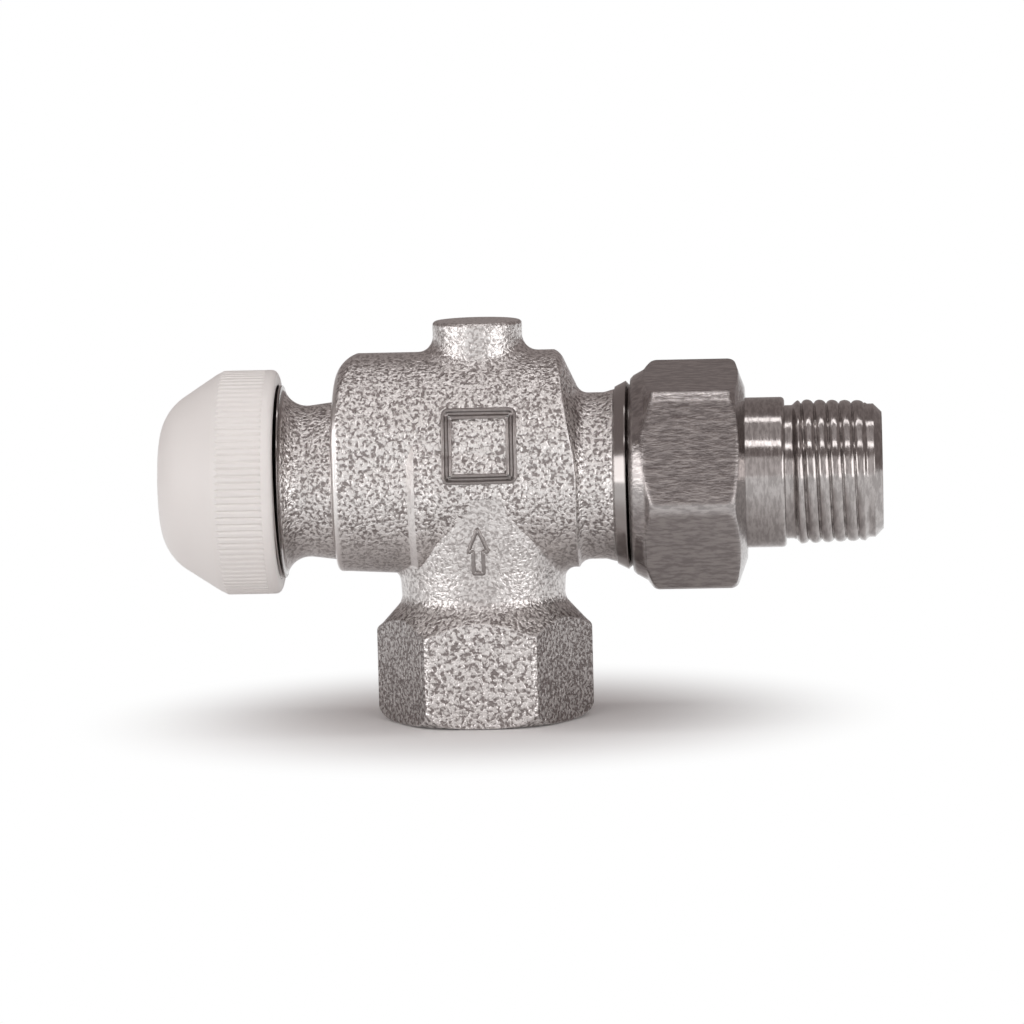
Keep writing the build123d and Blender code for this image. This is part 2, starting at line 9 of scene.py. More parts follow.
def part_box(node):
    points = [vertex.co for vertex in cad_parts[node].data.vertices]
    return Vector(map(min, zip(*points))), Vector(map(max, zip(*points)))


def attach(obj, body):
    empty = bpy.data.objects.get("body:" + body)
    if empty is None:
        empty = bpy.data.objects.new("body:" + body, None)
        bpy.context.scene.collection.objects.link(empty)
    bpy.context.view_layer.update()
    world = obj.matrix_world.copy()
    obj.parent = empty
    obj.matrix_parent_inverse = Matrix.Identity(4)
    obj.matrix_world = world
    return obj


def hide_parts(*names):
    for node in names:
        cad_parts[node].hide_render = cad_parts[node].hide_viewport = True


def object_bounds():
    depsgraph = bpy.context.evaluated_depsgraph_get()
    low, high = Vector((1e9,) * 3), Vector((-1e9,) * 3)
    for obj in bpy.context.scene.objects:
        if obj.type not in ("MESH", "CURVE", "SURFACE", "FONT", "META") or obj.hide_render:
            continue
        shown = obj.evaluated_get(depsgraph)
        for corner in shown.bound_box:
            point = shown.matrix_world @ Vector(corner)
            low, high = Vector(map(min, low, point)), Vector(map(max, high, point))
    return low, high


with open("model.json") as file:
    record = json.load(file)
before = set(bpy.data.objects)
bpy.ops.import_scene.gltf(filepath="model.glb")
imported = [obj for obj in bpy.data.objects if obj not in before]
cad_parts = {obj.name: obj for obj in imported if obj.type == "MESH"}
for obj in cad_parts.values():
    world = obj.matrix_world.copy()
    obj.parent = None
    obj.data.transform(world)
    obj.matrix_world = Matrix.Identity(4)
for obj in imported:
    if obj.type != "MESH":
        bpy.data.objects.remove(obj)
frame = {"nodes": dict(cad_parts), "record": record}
cad_low, cad_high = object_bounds()
nodes = frame["nodes"]

MM = 0.001

# Places taken from the solids
tail_low, tail_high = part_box("tailpiece")
body_low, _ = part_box("valve_body")
AXIS_Z = 0.5 * (tail_low.z + tail_high.z)  # height of the valve axis
FLOOR_Z = cad_low.z

# Camera
TARGET = Vector((4.4 * MM, 0, AXIS_Z - 5.1 * MM))
CAMERA_DISTANCE = 950 * MM
CAMERA_AZIMUTH = math.radians(2.8)
CAMERA_ELEVATION = math.radians(6.2)
CAMERA_ROLL = math.radians(1.4)
FRAME_WIDTH = 149.0 * MM  # of the picture, at the target
SENSOR_WIDTH = 36.0

# Threads
PIPE_PITCH = 1.814 * MM
PIPE_THREAD_DEPTH = 1.16 * MM
HEAD_PITCH = 1.5 * MM
HEAD_THREAD_DEPTH = 0.92 * MM

# Tailpiece outline
TAIL_BORE = 7.6 * MM
TAIL_NOSE_RADIUS = 8.8 * MM
TAIL_CONE_RADIUS = 10.5 * MM
TAIL_CONE_LENGTH = 2.45 * MM
TAIL_COLLAR_LENGTH = 3.3 * MM
TAIL_RADIUS = 10.9 * MM
TAIL_PLAIN_LENGTH = 9.85 * MM
TAIL_FIRST_CREST = 1.95 * MM  # after the plain part, at the front
TAIL_CREST = 10.48 * MM  # thread's crest at its wide end
TAIL_ROOT = 9.68 * MM
TAIL_TAPER = 1.0 / 32.0  # fall of the crest's radius along the thread
TAIL_LAND = 2.1 * MM  # plain end behind the thread, with its chamfer
TAIL_CHAMFER = 1.2 * MM
TAIL_EDGE = 0.25 * MM
TAIL_ROUND = 0.6 * MM  # round end of the plain part
TAIL_ROUND_STEPS = 4
TAIL_RUN_IN, TAIL_RUN_OUT = 0.5, 0.3  # ends of the thread, in pitches

# Socket's thread
INLET_WALL = 10.46 * MM
INLET_THREAD_LOW = 0.6 * MM  # above the socket's face
INLET_THREAD_HIGH = 14.2 * MM
INLET_RUN_IN = 0.5  # in pitches

# Cast forms over the body, about the inlet axis and the valve axis
GABLE_LOW = -15.5 * MM  # above the valve axis
GABLE_PEAK = -1.7 * MM
GABLE_FOOT_RADIUS = 11.6 * MM
GABLE_PEAK_RADIUS = 14.05 * MM
GABLE_INNER_RADIUS = 12.6 * MM  # its sides end at this distance from the valve axis
GABLE_REACH = math.radians(80)
GABLE_ROWS, GABLE_COLUMNS = 24, 64
STEP_TOP = math.radians(26)  # above the valve axis
STEP_FOOT = math.radians(-60)
# (place along the valve axis, radius) of the strips
STEP_BEVEL = ((-10.3 * MM, 13.4 * MM), (-9.95 * MM, 13.75 * MM), (-8.9 * MM, 14.7 * MM))
STEP_SWELL = (
    (-8.9 * MM, 14.7 * MM), (-8.5 * MM, 14.76 * MM), (-7.4 * MM, 14.5 * MM), (-5.7 * MM, 14.0 * MM),
)
STEP_COLUMNS = 60

# Marks cast on the body's front
PLATE_SIZE = 10.9 * MM
PLATE_CENTRE = (0.5 * MM, 5.9 * MM)  # along the axis, above the axis
PLATE_CORNER = 0.25 * MM
PLATE_LINE = 1.6 * MM
PLATE_RELIEF = 0.55 * MM
ARROW_TIP = -6.0 * MM  # above the axis
ARROW_END = -12.6 * MM
ARROW_BARB = -9.4 * MM
ARROW_HALF_HEAD = 1.45 * MM
ARROW_HALF_SHAFT = 0.72 * MM
ARROW_LINE = 0.62 * MM
ARROW_RELIEF = 0.34 * MM
ARROW_ROUND = 0.12 * MM
RAY_START = 10 * MM  # in front of the body
# Half crowns of the raised lines, as shares of (half width, relief)
SINGLE_CROWN = ((-1.0, -0.25), (-0.86, 0.45), (-0.6, 0.88), (-0.25, 1.0))
DOUBLE_CROWN = ((-1.0, -0.25), (-0.9, 0.8), (-0.78, 1.0), (-0.5, 1.0), (-0.4, 0.8), (-0.26, 0.1))

# Soft edges of the casting's zones, in millimetres along the valve axis
HEAD_END = (-28.4, -28.1)
# the barrel's left end, brightened as painted highlight
RIM_START = (-21.2, -20.9)
RIM_END = (-20.3, -19.8)
UNION_START = (19.5, 19.7)
SPIGOT_START = (21.9, 22.2)
SPIGOT_END = (30.2, 30.5)
# the same, out from the valve axis
SPIGOT_WALL = (12.8, 13.0)
COLLAR_WALL = (13.6, 13.8)
# the same, above the floor
PAINTED_SHADE_FLATS_TOP = (15.5, 16.5)
NECK_FOOT = (15.0, 19.0)
NECK_TOP = (25.5, 29.0)
BOSS_FOOT = (51.0, 54.0)

# Surface of the casting
GRAIN_DEPTH = 0.32 * MM
LINE_DEPTH = 0.004 * MM  # of the turning lines on the threaded ends
CAST_BEVEL = 0.3 * MM
CAST_EDGE = 0.45 * MM
GRAIN_TIPS = (0.36, 0.58)
GRAIN_MIDDLE = 0.62
GRAIN_SWING = 0.85
PAINTED_HIGHLIGHT_GAIN = 0.25  # painted highlight: brighter on edges and along the barrel's left end
FLANK_PAINTED_SHADE = 0.45  # painted shade, darker on the socket's side flats
CAST_ROUGHNESS = 0.30
TURNED_POLISH = 0.16  # less roughness where it is turned

# Shader masks
EDGE_COSINE = (0.90, 0.985)  # of the angle between rounded and plain normal
FLANK_SLOPE = (0.5, 0.8)
THREAD_FLANK = (0.04, 0.46)
BEVEL_SAMPLES = 6

SHARP_ANGLE = math.radians(38)

# Stage
FLOOR_RADIUS = 6.0
FLOOR_SEGMENTS = 96
FLOOR_GAP = 0.1 * MM  # below the valve
PAPER_START = (17.0, 62.0)  # millimetres from the inlet axis, where the floor turns white
MIRROR_START = (30.0, 95.0)  # the same in reflections
LIGHTS = (
    # name, azimuth and elevation in degrees, distance, width, height, radiance
    ("top", 0, 94, 0.55, 0.60, 0.08, 2.3),
    ("front_top", 0, 51, 0.60, 0.60, 0.09, 2.7),
    ("over", 0, 72, 0.60, 0.60, 0.30, 0.24),
    ("front", 0, 14, 1.30, 1.40, 0.72, 0.50),
    ("left", -58, 5, 0.60, 0.46, 0.38, 2.2),
    ("right", 54, 5, 0.60, 0.42, 0.38, 2.3),
)


# Shader helper

class Shader:
    """A node material under construction."""

    def __init__(self, name):
        self.material = bpy.data.materials.new(name)
        self.material.use_nodes = True
        self.tree = self.material.node_tree
        self.tree.nodes.clear()
        self.output = self.node("ShaderNodeOutputMaterial")

    def node(self, kind, **settings):
        made = self.tree.nodes.new(kind)
        for key, value in settings.items():
            setattr(made, key, value)
        return made

    def put(self, socket, value):
        """Links a socket to a value socket, or sets it to a constant."""
        if isinstance(value, bpy.types.NodeSocket):
            self.tree.links.new(value, socket)
        else:
            socket.default_value = value

    def math(self, operation, *values, clamp=False):
        made = self.node("ShaderNodeMath", operation=operation, use_clamp=clamp)
        for socket, value in zip(made.inputs, values):
            self.put(socket, value)
        return made.outputs[0]

    def smooth(self, value, low, high, out_low=0.0, out_high=1.0):
        """Smooth step of a value from low to high."""
        made = self.node("ShaderNodeMapRange", interpolation_type="SMOOTHSTEP")
        for socket, item in zip(made.inputs, (value, low, high, out_low, out_high)):
            self.put(socket, item)
        return made.outputs[0]

    def fall(self, value, low, high):
        """Smooth step down, from 1 at low to 0 at high."""
        return self.smooth(value, low, high, 1.0, 0.0)

    def between(self, value, start, stop):
        """Mask that rises over start and falls over stop, each a (low, high) pair."""
        return self.math("MULTIPLY", self.smooth(value, *start), self.fall(value, *stop))

    def mix(self, factor, first, second):
        """Mix of two colours."""
        made = self.node("ShaderNodeMix", data_type="RGBA")
        self.put(made.inputs[0], factor)
        self.put(made.inputs[6], first)
        self.put(made.inputs[7], second)
        return made.outputs[2]

    def place(self, scale=(1.0, 1.0, 1.0)):
        """Position on the object, in millimetres, stretched by scale."""
        coordinates = self.node("ShaderNodeTexCoord")
        mapping = self.node("ShaderNodeMapping")
        self.put(mapping.inputs["Vector"], coordinates.outputs["Object"])
        mapping.inputs["Scale"].default_value = [s / MM for s in scale]
        return mapping.outputs[0]

    def noise(self, vector, scale, detail=2.0, roughness=0.5, distortion=0.0):
        made = self.node("ShaderNodeTexNoise")
        self.put(made.inputs["Vector"], vector)
        made.inputs["Scale"].default_value = scale
        made.inputs["Detail"].default_value = detail
        made.inputs["Roughness"].default_value = roughness
        made.inputs["Distortion"].default_value = distortion
        return made.outputs[0]

    def bump(self, height, distance, normal=None):
        made = self.node("ShaderNodeBump")
        made.inputs["Distance"].default_value = distance
        self.put(made.inputs["Height"], height)
        if normal is not None:
            self.put(made.inputs["Normal"], normal)
        return made.outputs[0]

    def bevel(self, radius):
        made = self.node("ShaderNodeBevel", samples=BEVEL_SAMPLES)
        made.inputs["Radius"].default_value = radius
        return made.outputs[0]

    def edge(self, radius):
        """Mask of the outer edges, from 0 on plain surfaces to 1."""
        geometry = self.node("ShaderNodeNewGeometry")
        product = self.node("ShaderNodeVectorMath", operation="DOT_PRODUCT")
        self.put(product.inputs[0], self.bevel(radius))
        self.put(product.inputs[1], geometry.outputs["Normal"])
        return self.fall(product.outputs["Value"], *EDGE_COSINE)

    def painted_shade_flank(self):
        """Mask of the faces that look along X, from 0 to 1, which get painted shade."""
        geometry = self.node("ShaderNodeNewGeometry")
        split = self.node("ShaderNodeSeparateXYZ")
        self.put(split.inputs[0], geometry.outputs["True Normal"])
        return self.smooth(self.math("ABSOLUTE", split.outputs[0]), *FLANK_SLOPE)

    def surface(self, **sockets):
        """Principled surface with the named sockets, on the output."""
        made = self.node("ShaderNodeBsdfPrincipled")
        for name, value in sockets.items():
            self.put(made.inputs[name.replace("_", " ")], value)
        self.put(self.output.inputs["Surface"], made.outputs[0])
        return self.material


def colour(red, green, blue):
    return (red, green, blue, 1.0)


def axis_parts(shader):
    """Place along the valve axis, height above the floor, distance from the axis and turn about it."""
    split = shader.node("ShaderNodeSeparateXYZ")
    shader.put(split.inputs[0], shader.place())
    along, across, up = split.outputs
    above = shader.math("SUBTRACT", up, AXIS_Z / MM)
    radius = shader.math("POWER", shader.math(
        "ADD", shader.math("MULTIPLY", across, across), shader.math("MULTIPLY", above, above)), 0.5)
    turn = shader.math("DIVIDE", shader.math("ARCTAN2", above, across), 2 * math.pi)
    return along, up, radius, turn


def thread_height(shader, along, turn, pitch):
    """Height of a right-hand thread, from 0 in its root to 1 on its crest."""
    phase = shader.math("SUBTRACT", shader.math("DIVIDE", along, pitch / MM), turn)
    wave = shader.math("PINGPONG", phase, 0.5)
    return shader.smooth(wave, *THREAD_FLANK)


# Materials

def cast_nickel(name, grain_share, calm_share, tone):
    """Nickel plating over a rough casting, turned smooth on the threaded ends.

    The shares say how much grain there is, and how much of it the neck and the boss lose. Edges and the
    barrel's left end get a painted highlight, the socket's side flats a painted shade.
    """
    s = Shader(name)
    along, up, radius, turn = axis_parts(s)
    grain = s.noise(s.place(), scale=2.0, detail=1.5, distortion=0.4)

    # where the casting is turned, calm or rough, and where its edges are rubbed smooth and get a painted
    # highlight
    head = s.fall(along, *HEAD_END)
    turned = s.math("MAXIMUM", head, s.smooth(along, *UNION_START))
    boss = s.smooth(up, *BOSS_FOOT)
    neck = s.between(up, NECK_FOOT, NECK_TOP)
    calm = s.math("MULTIPLY", s.math("MAXIMUM", boss, neck), calm_share)
    # edges and the barrel's left end lose grain and carry a painted highlight
    rim_highlight = s.between(along, RIM_START, RIM_END)
    worn_and_highlight = s.math("MAXIMUM", s.edge(CAST_EDGE), rim_highlight)
    rough = s.math("MULTIPLY", s.math("SUBTRACT", 1.0, turned), s.math("SUBTRACT", 1.0, calm))
    bare = s.math("MULTIPLY", worn_and_highlight, grain_share)
    rough = s.math("MULTIPLY", rough, s.math("SUBTRACT", grain_share, bare))

    # relief: grain, turning lines and the two threads
    normal = s.bump(s.math("MULTIPLY", grain, rough), GRAIN_DEPTH, normal=s.bevel(CAST_BEVEL))
    lines = s.noise(s.place((9.0, 0.05, 0.05)), scale=1.0, detail=1.0)
    normal = s.bump(s.math("MULTIPLY", lines, turned), LINE_DEPTH, normal=normal)
    spigot = s.between(along, SPIGOT_START, SPIGOT_END)
    spigot = s.math("MULTIPLY", spigot, s.smooth(radius, *SPIGOT_WALL))
    union_thread = thread_height(s, along, turn, PIPE_PITCH)
    normal = s.bump(s.math("MULTIPLY", union_thread, spigot), PIPE_THREAD_DEPTH, normal=normal)
    collar = s.math("MULTIPLY", head, s.smooth(radius, *COLLAR_WALL))
    head_thread = thread_height(s, along, turn, HEAD_PITCH)
    normal = s.bump(s.math("MULTIPLY", head_thread, collar), HEAD_THREAD_DEPTH, normal=normal)

    # shade, from 0 dark to 1 bright, with painted highlight on edges and painted shade on the socket's
    # side flats
    tips = s.smooth(grain, *GRAIN_TIPS)
    swing = s.math("MULTIPLY", s.math("SUBTRACT", tips, GRAIN_MIDDLE), GRAIN_SWING)
    shade = s.math("ADD", s.math("MULTIPLY", swing, rough), tone)
    # painted highlight: brighter on edges and along the barrel's left end
    shade = s.math("ADD", shade, s.math("MULTIPLY", worn_and_highlight, PAINTED_HIGHLIGHT_GAIN))
    # painted shade: darker on the socket's side flats, below their top
    painted_shade_flank = s.math("MULTIPLY", s.painted_shade_flank(), s.fall(up, *PAINTED_SHADE_FLATS_TOP))
    shade = s.math("SUBTRACT", shade, s.math("MULTIPLY", painted_shade_flank, FLANK_PAINTED_SHADE), clamp=True)
    cast = s.mix(shade, colour(0.22, 0.19, 0.183), colour(0.88, 0.85, 0.835))
    base = s.mix(turned, cast, colour(0.38, 0.353, 0.343))
    roughness = s.math("SUBTRACT", CAST_ROUGHNESS, s.math("MULTIPLY", turned, TURNED_POLISH))
    return s.surface(Base_Color=base, Metallic=1.0, Roughness=roughness, Normal=normal)


def mark_nickel_painted_light():
    """Plating on the raised marks, painted dark on their tops as shade and painted bright on their edges
    as highlight.
    """
    s = Shader("mark_nickel_painted_light")
    grain = s.noise(s.place(), scale=1.6)
    # painted shade on the tops of the marks, and a painted highlight on their edges
    painted_shade_flat = s.mix(grain, colour(0.22, 0.195, 0.188), colour(0.40, 0.37, 0.36))
    base = s.mix(s.edge(radius=0.2 * MM), painted_shade_flat, colour(0.78, 0.755, 0.74))
    normal = s.bump(grain, distance=0.04 * MM, normal=s.bevel(radius=0.12 * MM))
    return s.surface(Base_Color=base, Metallic=1.0, Roughness=0.30, Normal=normal)


def turned_nickel(name, streaks, stretch, wave_depth, edge_round, dark, bright):
    """Bright nickel plating over a smooth machined surface."""
    s = Shader(name)
    lines = s.noise(s.place(streaks), scale=1.0)
    waves = s.noise(s.place(stretch), scale=1.7, detail=3.0, roughness=0.6)
    normal = s.bump(lines, distance=0.006 * MM, normal=s.bevel(edge_round))
    normal = s.bump(waves, wave_depth, normal=normal)
    base = s.mix(s.smooth(waves, 0.38, 0.62), dark, bright)
    roughness = s.smooth(lines, 0.25, 0.75, out_low=0.10, out_high=0.20)
    return s.surface(Base_Color=base, Metallic=1.0, Roughness=roughness, Normal=normal)


def white_plastic():
    """Warm white moulded plastic."""
    s = Shader("white_plastic")
    mottle = s.noise(s.place(), scale=0.15, detail=3.0)
    grain = s.noise(s.place(), scale=6.0)
    base = s.mix(mottle, colour(0.885, 0.86, 0.84), colour(0.92, 0.90, 0.88))
    normal = s.bump(grain, distance=0.006 * MM, normal=s.bevel(radius=0.12 * MM))
    roughness = s.smooth(mottle, 0.3, 0.7, out_low=0.40, out_high=0.50)
    return s.surface(Base_Color=base, Roughness=roughness, Normal=normal)


def metal(name, dark, bright, roughness_low, roughness_high):
    """Turned metal of an inner piece."""
    s = Shader(name)
    lines = s.noise(s.place((7.0, 0.2, 0.2)), scale=1.0)
    base = s.mix(lines, dark, bright)
    roughness = s.smooth(lines, 0.25, 0.75, roughness_low, roughness_high)
    normal = s.bump(lines, distance=0.008 * MM)
    return s.surface(Base_Color=base, Metallic=1.0, Roughness=roughness, Normal=normal)


def black_rubber():
    s = Shader("black_rubber")
    grain = s.noise(s.place(), scale=2.5, detail=3.0)
    base = s.mix(grain, colour(0.018, 0.018, 0.018), colour(0.045, 0.044, 0.043))
    roughness = s.smooth(grain, 0.3, 0.7, out_low=0.55, out_high=0.75)
    normal = s.bump(grain, distance=0.01 * MM)
    return s.surface(Base_Color=base, Roughness=roughness, Normal=normal)


def dress(thing, material):
    thing.data.materials.clear()
    thing.data.materials.append(material)


# Mesh helpers

def new_piece(name, points, faces, material, body):
    mesh = bpy.data.meshes.new(name)
    mesh.from_pydata(points, [], faces)
    mesh.validate()
    mesh.shade_smooth()
    piece = bpy.data.objects.new(name, mesh)
    bpy.context.scene.collection.objects.link(piece)
    dress(piece, material)
    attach(piece, body)
    return piece


def grid_faces(rows, columns, wrap_rows=False, wrap_columns=True):
    """Quads of a grid of points, with its last row or column joined to the first where it wraps."""
    faces = []
    for row in range(rows if wrap_rows else rows - 1):
        following = (row + 1) % rows
        for column in range(columns if wrap_columns else columns - 1):
            beside = (column + 1) % columns
            faces.append((
                row * columns + column, row * columns + beside,
                following * columns + beside, following * columns + column,
            ))
    return faces


def thread_wave(turns):
    """Depth of a round-nosed thread, the mean of a straight and a round wave, from 0 to 1."""
    ramp = abs(2.0 * (turns % 1.0) - 1.0)
    return 0.5 * (1.0 - ramp) + 0.25 * (1.0 + math.cos(math.pi * ramp))


# Tailpiece with its taper thread

def tail_outline(thread_step):
    """Stations (place, radius, threaded) along the outside, then back along the bore."""
    nose = tail_low.x
    cone_end = nose + TAIL_CONE_LENGTH
    collar_end = cone_end + TAIL_COLLAR_LENGTH
    collar_radius = 0.5 * (tail_high.z - tail_low.z)
    plain_end = collar_end + TAIL_PLAIN_LENGTH
    end = tail_high.x
    stations = [
        (nose, TAIL_BORE), (nose, TAIL_NOSE_RADIUS), (cone_end, TAIL_CONE_RADIUS),
        (cone_end, collar_radius - TAIL_EDGE), (cone_end + TAIL_EDGE, collar_radius),
        (collar_end - TAIL_EDGE, collar_radius), (collar_end, collar_radius - TAIL_EDGE),
        (collar_end, TAIL_RADIUS + TAIL_EDGE), (collar_end + TAIL_EDGE, TAIL_RADIUS),
    ]
    for step in range(TAIL_ROUND_STEPS + 1):
        angle = 0.5 * math.pi * step / TAIL_ROUND_STEPS
        stations.append((
            plain_end - TAIL_ROUND * (1.0 - math.sin(angle)),
            TAIL_RADIUS - TAIL_ROUND * (1.0 - math.cos(angle)),
        ))
    stations.append((plain_end, TAIL_ROOT))
    outline = [(x, r, False) for x, r in stations]
    count = round((end - plain_end) / thread_step)
    for i in range(1, count + 1):
        outline.append((plain_end + (end - plain_end) * i / count, TAIL_ROOT, True))
    outline.append((end, TAIL_BORE + TAIL_EDGE, False))
    outline.append((end - TAIL_EDGE, TAIL_BORE, False))
    return outline


def bead(from_crest):
    """Height of a worn round crest, from 1 on its top to 0 in the groove."""
    return math.sqrt(1.0 - from_crest ** 2)


def tail_thread_radius(x, turn):
    """Radius of the taper thread at a place on the axis and a turn about it."""
    first = tail_low.x + TAIL_CONE_LENGTH + TAIL_COLLAR_LENGTH + TAIL_PLAIN_LENGTH + TAIL_FIRST_CREST
    turns = (x - first) / PIPE_PITCH - (turn - 0.5)
    from_crest = 1.0 - abs(2.0 * (turns % 1.0) - 1.0)
    rise = TAIL_CREST - TAIL_TAPER * (x - first) - TAIL_ROOT
    run_in = min(1.0, max(0.0, (x - first) / (TAIL_RUN_IN * PIPE_PITCH) + 1.0))
    run_out = min(1.0, max(0.0, (tail_high.x - TAIL_LAND - x) / (TAIL_RUN_OUT * PIPE_PITCH)))
    radius = TAIL_ROOT + rise * bead(from_crest) * run_in * run_out
    if x > tail_high.x - TAIL_CHAMFER:
        radius = min(radius, TAIL_ROOT + tail_high.x - TAIL_CHAMFER - x)
    return radius


def tailpiece(material):
    segments = 180
    outline = tail_outline(thread_step=0.1 * MM)
    points = []
    for x, radius, threaded in outline:
        for i in range(segments):
            turn = i / segments
            r = tail_thread_radius(x, turn) if threaded else radius
            angle = 2 * math.pi * turn
            points.append((x, r * math.cos(angle), AXIS_Z + r * math.sin(angle)))
    faces = grid_faces(len(outline), segments, wrap_rows=True)
    piece = new_piece("threaded_tailpiece", points, faces, material, "tail")
    piece.data.set_sharp_from_angle(angle=SHARP_ANGLE)  # keeps hard corners crisp
    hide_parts("tailpiece")


# Thread inside the pipe socket

def inlet_thread(material):
    segments = 144
    rows_per_turn = 14
    low = body_low.z + INLET_THREAD_LOW
    high = body_low.z + INLET_THREAD_HIGH
    rows = round((high - low) / PIPE_PITCH * rows_per_turn)
    points = []
    for row in range(rows + 1):
        z = low + (high - low) * row / rows
        fade = min(1.0, (z - low) / (INLET_RUN_IN * PIPE_PITCH))
        for i in range(segments):
            turn = i / segments
            crest = 1.0 - thread_wave(z / PIPE_PITCH - turn)
            r = INLET_WALL - PIPE_THREAD_DEPTH * crest * fade
            angle = 2 * math.pi * turn
            points.append((r * math.cos(angle), r * math.sin(angle), z))
    faces = [tuple(reversed(face)) for face in grid_faces(rows + 1, segments)]
    new_piece("inlet_thread", points, faces, material, "valve")


# Cast forms laid over the body

def shell(name, patches, material):
    """Open shell of patches, each given by rows of as many points."""
    points, faces = [], []
    for rows in patches:
        start = len(points)
        points += [point for row in rows for point in row]
        grid = grid_faces(len(rows), len(rows[0]), wrap_columns=False)
        faces += [tuple(start + i for i in face) for face in grid]
    return new_piece(name, points, faces, material, "valve")


def neck_gable(name, side, material):
    """Stout top of the inlet neck on one side, which meets the barrel in a peak."""
    rows = []
    for step in range(GABLE_ROWS + 1):
        share = step / GABLE_ROWS
        above = GABLE_LOW + share * (GABLE_PEAK - GABLE_LOW)
        radius = GABLE_FOOT_RADIUS + share * (GABLE_PEAK_RADIUS - GABLE_FOOT_RADIUS)
        inside = math.sqrt(max(0.0, GABLE_INNER_RADIUS ** 2 - above ** 2))
        reach = min(GABLE_REACH, math.acos(min(1.0, inside / radius)))
        row = []
        for i in range(GABLE_COLUMNS + 1):
            angle = reach * (2 * i / GABLE_COLUMNS - 1)
            row.append((radius * math.sin(angle) * side, -radius * math.cos(angle) * side, AXIS_Z + above))
        rows.append(row)
    return shell(name, [rows], material)


def step_shell(name, stations, material):
    """Strips on the barrel's front and back, from above the axis down to the inlet neck."""
    sides = []
    for side in (1, -1):
        rows = []
        for place, radius in stations:
            row = []
            for i in range(STEP_COLUMNS + 1):
                angle = STEP_TOP + (STEP_FOOT - STEP_TOP) * i / STEP_COLUMNS
                row.append((place, -radius * math.cos(angle) * side, AXIS_Z + radius * math.sin(angle)))
            rows.append(row)
        sides.append(rows if side == 1 else [row[::-1] for row in rows])
    shell(name, sides, material)


# Marks cast on the front

class Front:
    """The body's front surface, seen along +Y."""

    def __init__(self, things):
        points, polygons = [], []
        for thing in things:
            start = len(points)
            points += [v.co.copy() for v in thing.data.vertices]
            polygons += [tuple(start + i for i in p.vertices) for p in thing.data.polygons]
        self.tree = BVHTree.FromPolygons(points, polygons)

    def point(self, x, above, lift):
        """Point on the surface, raised by lift towards the front."""
        start = Vector((x, body_low.y - RAY_START, AXIS_Z + above))
        hit = self.tree.ray_cast(start, Vector((0, 1, 0)))[0]
        return hit + Vector((0, -lift, 0))


def rounded_path(corners, radius, arc_steps, run_step):
    """Points of a closed path with rounded corners."""
    path = []
    count = len(corners)
    for i, corner in enumerate(corners):
        before = (corners[i - 1] - corner).normalized()
        after = (corners[(i + 1) % count] - corner).normalized()
        half = 0.5 * before.angle(after)
        reach = radius / math.tan(half)
        centre = corner + (before + after).normalized() * radius / math.sin(half)
        start = corner + before * reach - centre
        stop = corner + after * reach - centre
        for step in range(arc_steps + 1):
            spoke = start.slerp(stop, step / arc_steps).normalized()
            path.append(centre + spoke * radius)
        following = corners[(i + 1) % count]
        next_after = (corners[(i + 2) % count] - following).normalized()
        next_half = 0.5 * (-after).angle(next_after)
        run_end = following - after * radius / math.tan(next_half)
        run = run_end - path[-1]
        steps = max(1, round(run.length / run_step))
        start_point = path[-1]
        for step in range(1, steps):
            path.append(start_point + run * step / steps)
    return path


def ridge(name, front, path, width, relief, crown, material):
    """Raised line with the given half crown along a closed path on the front."""
    profile = [*crown, *((-share, height) for share, height in reversed(crown))]
    count = len(path)
    points = []
    for i, place in enumerate(path):
        along = (path[(i + 1) % count] - path[i - 1]).normalized()
        side = Vector((along.y, -along.x))
        for share, height in profile:
            spot = place + side * (0.5 * width * share)
            points.append(front.point(spot.x, spot.y, relief * height))
    grid = grid_faces(count, len(profile), wrap_rows=True, wrap_columns=False)
    faces = [(a, d, c, b) for a, b, c, d in grid]  # outside to the front
    new_piece(name, points, faces, material, "valve")


def plate_frame(front, material):
    half = 0.5 * (PLATE_SIZE - PLATE_LINE)
    x, above = PLATE_CENTRE
    corners = [
        Vector((x - half, above - half)), Vector((x + half, above - half)),
        Vector((x + half, above + half)), Vector((x - half, above + half)),
    ]
    path = rounded_path(corners, PLATE_CORNER, arc_steps=5, run_step=0.3 * MM)
    ridge("plate_frame", front, path, PLATE_LINE, PLATE_RELIEF, DOUBLE_CROWN, material)


def flow_arrow(front, material):
    corners = [
        Vector((0, ARROW_TIP)), Vector((-ARROW_HALF_HEAD, ARROW_BARB)),
        Vector((-ARROW_HALF_SHAFT, ARROW_BARB)), Vector((-ARROW_HALF_SHAFT, ARROW_END)),
        Vector((ARROW_HALF_SHAFT, ARROW_END)), Vector((ARROW_HALF_SHAFT, ARROW_BARB)),
        Vector((ARROW_HALF_HEAD, ARROW_BARB)),
    ]
    path = rounded_path(corners, ARROW_ROUND, arc_steps=3, run_step=0.25 * MM)
    ridge("flow_arrow", front, path, ARROW_LINE, ARROW_RELIEF, SINGLE_CROWN, material)


# Stage

